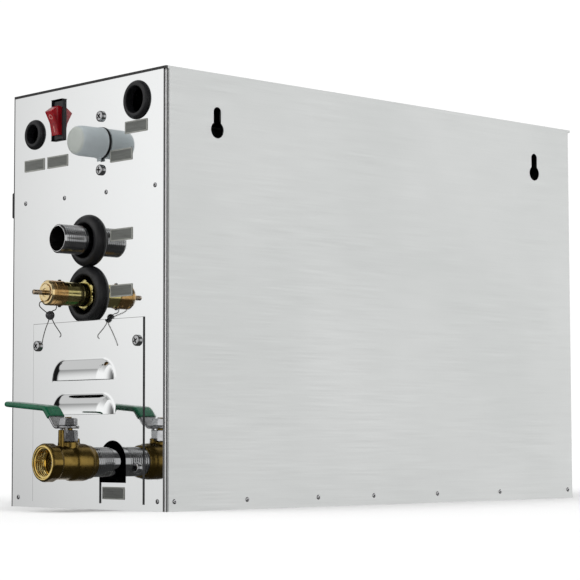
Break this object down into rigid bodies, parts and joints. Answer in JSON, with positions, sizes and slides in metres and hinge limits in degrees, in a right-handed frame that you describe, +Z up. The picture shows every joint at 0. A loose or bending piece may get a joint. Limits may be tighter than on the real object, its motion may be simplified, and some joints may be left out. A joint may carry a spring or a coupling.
{
  "type": "sauna steam generator",
  "caption": "Stainless steam generator box with a mirror polished connection end: ball valve drain, steam outlet, safety valve, capped water inlet, rocker switch and cable grommets.",
  "frame": {"origin": "centre of the base, on the surface that the box stands on", "axes": "+X along the box to the connection end, +Y to the back panel with the keyholes, +Z up"},
  "size_m": [0.5091, 0.1838, 0.3113],
  "materials": {
    "satin_steel": "satin stainless sheet",
    "mirror_steel": "mirror polished stainless sheet",
    "zinc_steel": "zinc plated",
    "chrome": "dark chrome plate",
    "brass": "cast and turned brass",
    "olive_brass": "oxidised brass",
    "black_rubber": "semi-gloss black rubber",
    "black_plastic": "fine moulded grain",
    "red_rocker": "see-through red",
    "grey_cap": "soft moulded plastic",
    "green_sleeve": "dipped vinyl",
    "white_plastic": "white moulded plastic",
    "white_ptfe": "waxy white seat rings",
    "plate_grey": "blank grey name plate",
    "lead": "dull lead",
    "board_green": "lacquered board",
    "copper_tube": "sheathed heater tube"
  },
  "bodies": {
    "casing": {"base_tray": "satin_steel", "back_panel": "satin_steel", "connection_panel": "mirror_steel", "far_end_panel": "satin_steel", "top_cover": "satin_steel", "front_cover": "satin_steel", "front_cover_pull": "black_plastic", "inner_shelf": "satin_steel", "access_panel": "mirror_steel", "casing_rivets": "zinc_steel", "cover_screws": "zinc_steel", "access_panel_screws": "chrome", "name_plates": "plate_grey", "control_cable_grommet": "black_rubber", "power_cable_grommet": "black_rubber", "steam_pipe_grommet": "black_rubber", "safety_valve_grommet": "black_rubber", "switch_housing": "black_plastic", "switch_terminals": "zinc_steel", "inlet_valve_body": "white_plastic", "inlet_valve_screws": "chrome", "inlet_valve_coil": "black_plastic", "inlet_plunger_spring": "zinc_steel", "inlet_strainer": "zinc_steel", "inlet_root_ring": "black_rubber", "feed_hose": "black_rubber", "hose_clips": "zinc_steel", "steam_outlet_nipple": "chrome", "safety_valve_body": "olive_brass", "safety_valve_bonnet": "brass", "safety_valve_spring": "zinc_steel", "seal_wire_front": "brass", "seal_wire_rear": "brass", "lead_seal": "lead", "drain_nipple": "chrome", "drain_valve_body": "olive_brass", "drain_valve_seats": "white_ptfe", "seat_retainer": "olive_brass", "drain_gland_nut": "chrome", "boiler_tank": "satin_steel", "tank_brackets": "zinc_steel", "heater_flange": "zinc_steel", "heating_elements": "copper_tube", "heater_nuts": "zinc_steel", "level_probe": "white_plastic", "overheat_thermostat": "black_plastic", "control_board": "board_green", "board_parts": "black_plastic", "power_relays": "black_plastic", "terminal_block": "white_plastic"},
    "drain_lever": {"drain_valve_ball": "chrome", "drain_valve_stem": "brass", "lever_plate": "zinc_steel", "lever_sleeve": "green_sleeve", "lever_nut": "zinc_steel"},
    "rocker": {"switch_rocker": "red_rocker"},
    "test_stem": {"safety_valve_stem": "brass"},
    "transport_cap": {"inlet_transport_cap": "grey_cap"},
    "plunger": {"inlet_plunger": "zinc_steel"}
  },
  "joints": [
    {"name": "valve_turn", "type": "hinge", "parent": "casing", "child": "drain_lever", "pos_m": [0.264, 0.0348, 0.034], "axis": [0, 0, 1], "range_deg": [0, 90]},
    {"name": "switch_rock", "type": "hinge", "parent": "casing", "child": "rocker", "pos_m": [0.221, -0.0337, 0.2857], "axis": [0, -1, 0], "range_deg": [0, 40]},
    {"name": "safety_lift", "type": "slide", "parent": "casing", "child": "test_stem", "axis": [1, 0, 0], "range_m": [0, 0.0025], "stiffness_N_per_m": 3000, "springref_m": -0.004, "deforming": ["safety_valve_spring"]},
    {"name": "inlet_cap_off", "type": "slide", "parent": "casing", "child": "transport_cap", "axis": [1, 0, 0], "range_m": [0, 0.036]},
    {"name": "inlet_plunger_lift", "type": "slide", "parent": "casing", "child": "plunger", "axis": [0, 0, 1], "range_m": [0, 0.0025], "stiffness_N_per_m": 200, "springref_m": -0.003, "deforming": ["inlet_plunger_spring"]}
  ]
}
